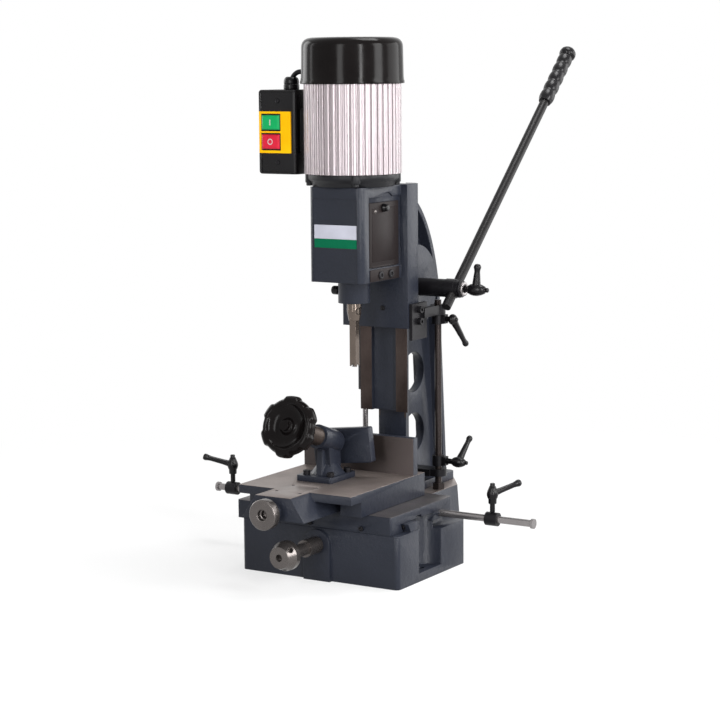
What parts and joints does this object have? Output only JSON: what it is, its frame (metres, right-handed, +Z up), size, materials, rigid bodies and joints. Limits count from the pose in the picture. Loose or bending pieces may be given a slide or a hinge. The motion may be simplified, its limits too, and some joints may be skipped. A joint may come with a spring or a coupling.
{
  "type": "bench mortiser",
  "caption": "Bench hollow-chisel mortiser: motor head on a dovetail column with rack lever, over a cross-slide table with fence, screw clamp and depth stop.",
  "frame": {"origin": "on the bench, straight below the spindle axis, in the plane of the base's underside", "axes": "+X to the machine's right, +Y to the column at the back, +Z up the spindle"},
  "size_m": [0.5431, 0.7316, 0.7475],
  "materials": {
    "cast_iron": "painted blue-grey, semi-gloss",
    "machined_iron": "ground and scraped, satin",
    "steel": "turned, bright",
    "black_steel": "blackened, semi-gloss",
    "black_plastic": "moulded, semi-gloss",
    "aluminium": "cast fins, satin",
    "bronze": "machined",
    "copper": "varnished",
    "green_plastic": "moulded, gloss",
    "red_plastic": "moulded, gloss"
  },
  "bodies": {
    "frame": {"base_casting": "cast_iron", "column_casting": "cast_iron", "column_bolts": "black_steel", "gear_cover": "cast_iron", "depth_rod": "steel", "rod_bracket": "black_steel", "strut_rod": "steel"},
    "lift_lever": {"gear_shaft": "steel", "lift_gear": "steel", "lever_hub": "black_steel", "feed_lever": "black_steel", "lever_grip": "black_plastic"},
    "hub_clamp": {"hub_clamp_lever": "black_plastic"},
    "depth_stop": {"depth_stop_collar": "black_steel"},
    "depth_stop_handle": {"depth_stop_lever": "black_plastic"},
    "saddle_feed": {"saddle_feed_hub": "steel", "saddle_pinion_shaft": "steel"},
    "saddle": {"saddle_casting": "cast_iron", "saddle_rack": "steel", "saddle_gib": "steel", "stop_rod": "steel", "cross_nut": "bronze"},
    "left_stop": {"left_stop_collar": "black_steel"},
    "left_stop_handle": {"left_stop_lever": "black_plastic"},
    "right_stop": {"right_stop_collar": "black_steel"},
    "right_stop_handle": {"right_stop_lever": "black_plastic"},
    "table": {"table_casting": "cast_iron", "table_gib": "steel", "clamp_stand": "cast_iron", "clamp_stand_screws": "black_steel"},
    "table_feed": {"cross_feed_hub": "steel", "cross_feed_screw": "steel"},
    "clamp_carrier": {"jaw_socket": "steel"},
    "clamp_wheel": {"clamp_screw": "black_steel", "clamp_handwheel": "black_plastic"},
    "jaw": {"clamp_jaw": "cast_iron"},
    "head": {"head_casting": "cast_iron", "lift_rack": "steel", "head_gib": "steel", "head_gib_screws": "black_steel", "strut_cylinder": "black_steel", "strut_bracket": "black_steel", "head_lock_arm": "black_steel", "head_lock_screws": "black_steel", "chisel_bush": "steel", "square_chisel": "steel", "motor_end_flange": "cast_iron", "motor_body": "aluminium", "motor_cap": "black_plastic", "motor_stator": "copper", "switch_box": "black_plastic", "motor_cable": "black_plastic"},
    "head_lock_handle": {"head_lock_lever": "black_plastic"},
    "cover": {"access_cover": "cast_iron"},
    "chisel_screw": {"chisel_thumb_screw": "black_plastic"},
    "spindle": {"motor_rotor": "steel", "auger_chuck": "steel", "auger_bit": "steel"},
    "start": {"start_button": "green_plastic"},
    "stop": {"stop_button": "red_plastic"}
  },
  "joints": [
    {"name": "head_slide", "type": "slide", "parent": "frame", "child": "head", "axis": [0, 0, 1], "range_m": [-0.125, 0], "stiffness_N_per_m": 250, "springref_m": 0.45},
    {"name": "lift_lever_turn", "type": "hinge", "parent": "frame", "child": "lift_lever", "pos_m": [0, 0.135, 0.389], "axis": [1, 0, 0], "range_deg": [0, 143.3]},
    {"name": "hub_clamp_turn", "type": "hinge", "parent": "lift_lever", "child": "hub_clamp", "pos_m": [0.11, 0.135, 0.389], "axis": [1, 0, 0], "range_deg": [-60, 60]},
    {"name": "depth_stop_slide", "type": "slide", "parent": "frame", "child": "depth_stop", "axis": [0, 0, 1], "range_m": [-0.004, 0.11]},
    {"name": "depth_stop_clamp_turn", "type": "hinge", "parent": "depth_stop", "child": "depth_stop_handle", "pos_m": [0.08, 0.139, 0.1345], "axis": [1, 0, 0], "range_deg": [-60, 60]},
    {"name": "saddle_slide", "type": "slide", "parent": "frame", "child": "saddle", "axis": [1, 0, 0], "range_m": [-0.05, 0.08]},
    {"name": "saddle_feed_turn", "type": "hinge", "parent": "frame", "child": "saddle_feed", "pos_m": [0, -0.1, 0.051], "axis": [0, 1, 0], "range_deg": [-120, 191.5]},
    {"name": "left_stop_slide", "type": "slide", "parent": "saddle", "child": "left_stop", "axis": [-1, 0, 0], "range_m": [-0.06, 0.014]},
    {"name": "left_stop_clamp_turn", "type": "hinge", "parent": "left_stop", "child": "left_stop_handle", "pos_m": [-0.238, 0.036, 0.11], "axis": [0, 0, 1], "range_deg": [-90, 90]},
    {"name": "right_stop_slide", "type": "slide", "parent": "saddle", "child": "right_stop", "axis": [-1, 0, 0], "range_m": [-0.045, 0.05]},
    {"name": "right_stop_clamp_turn", "type": "hinge", "parent": "right_stop", "child": "right_stop_handle", "pos_m": [0.201, 0.036, 0.11], "axis": [0, 0, 1], "range_deg": [-90, 90]},
    {"name": "table_slide", "type": "slide", "parent": "saddle", "child": "table", "axis": [0, 1, 0], "range_m": [-0.06, 0.025]},
    {"name": "cross_feed_turn", "type": "hinge", "parent": "table", "child": "table_feed", "pos_m": [-0.012, -0.2, 0.1127], "axis": [0, 1, 0], "range_deg": [-5460, 2280]},
    {"name": "clamp_advance", "type": "slide", "parent": "table", "child": "clamp_carrier", "axis": [0, 0.9472, -0.3206], "range_m": [0, 0.02]},
    {"name": "handwheel_turn", "type": "hinge", "parent": "clamp_carrier", "child": "clamp_wheel", "pos_m": [-0.015, -0.148, 0.2216], "axis": [0, 0.9472, -0.3206], "range_deg": [0, 1500]},
    {"name": "jaw_swivel", "type": "hinge", "parent": "clamp_carrier", "child": "jaw", "pos_m": [-0.015, -0.148, 0.2216], "axis": [0, 0.9472, -0.3206], "range_deg": [-5, 5]},
    {"name": "head_lock_turn", "type": "hinge", "parent": "head", "child": "head_lock_handle", "pos_m": [0.08, 0.139, 0.3435], "axis": [1, 0, 0], "range_deg": [-50, 55]},
    {"name": "access_cover_hinge", "type": "hinge", "parent": "head", "child": "cover", "pos_m": [0.0435, 0.01, 0.429], "axis": [0, 1, 0], "range_deg": [0, 100]},
    {"name": "chisel_screw_turn", "type": "hinge", "parent": "head", "child": "chisel_screw", "pos_m": [-0.03, 0, 0.394], "axis": [1, 0, 0], "range_deg": [-180, 180]},
    {"name": "spindle_turn", "type": "hinge", "parent": "head", "child": "spindle", "pos_m": [0, 0, 0.5], "axis": [0, 0, 1], "continuous": true},
    {"name": "start_push", "type": "slide", "parent": "head", "child": "start", "axis": [0, 1, 0], "range_m": [0, 0.003], "stiffness_N_per_m": 300, "springref_m": -0.004},
    {"name": "stop_push", "type": "slide", "parent": "head", "child": "stop", "axis": [0, 1, 0], "range_m": [0, 0.003], "stiffness_N_per_m": 300, "springref_m": -0.004}
  ],
  "couplings": [
    {"joint": "lift_lever_turn", "follows": "head_slide", "rad_per_m": -20},
    {"joint": "saddle_feed_turn", "follows": "saddle_slide", "rad_per_m": 41.667},
    {"joint": "cross_feed_turn", "follows": "table_slide", "rad_per_m": 1570.8},
    {"joint": "handwheel_turn", "follows": "clamp_advance", "rad_per_m": 1256.6}
  ]
}
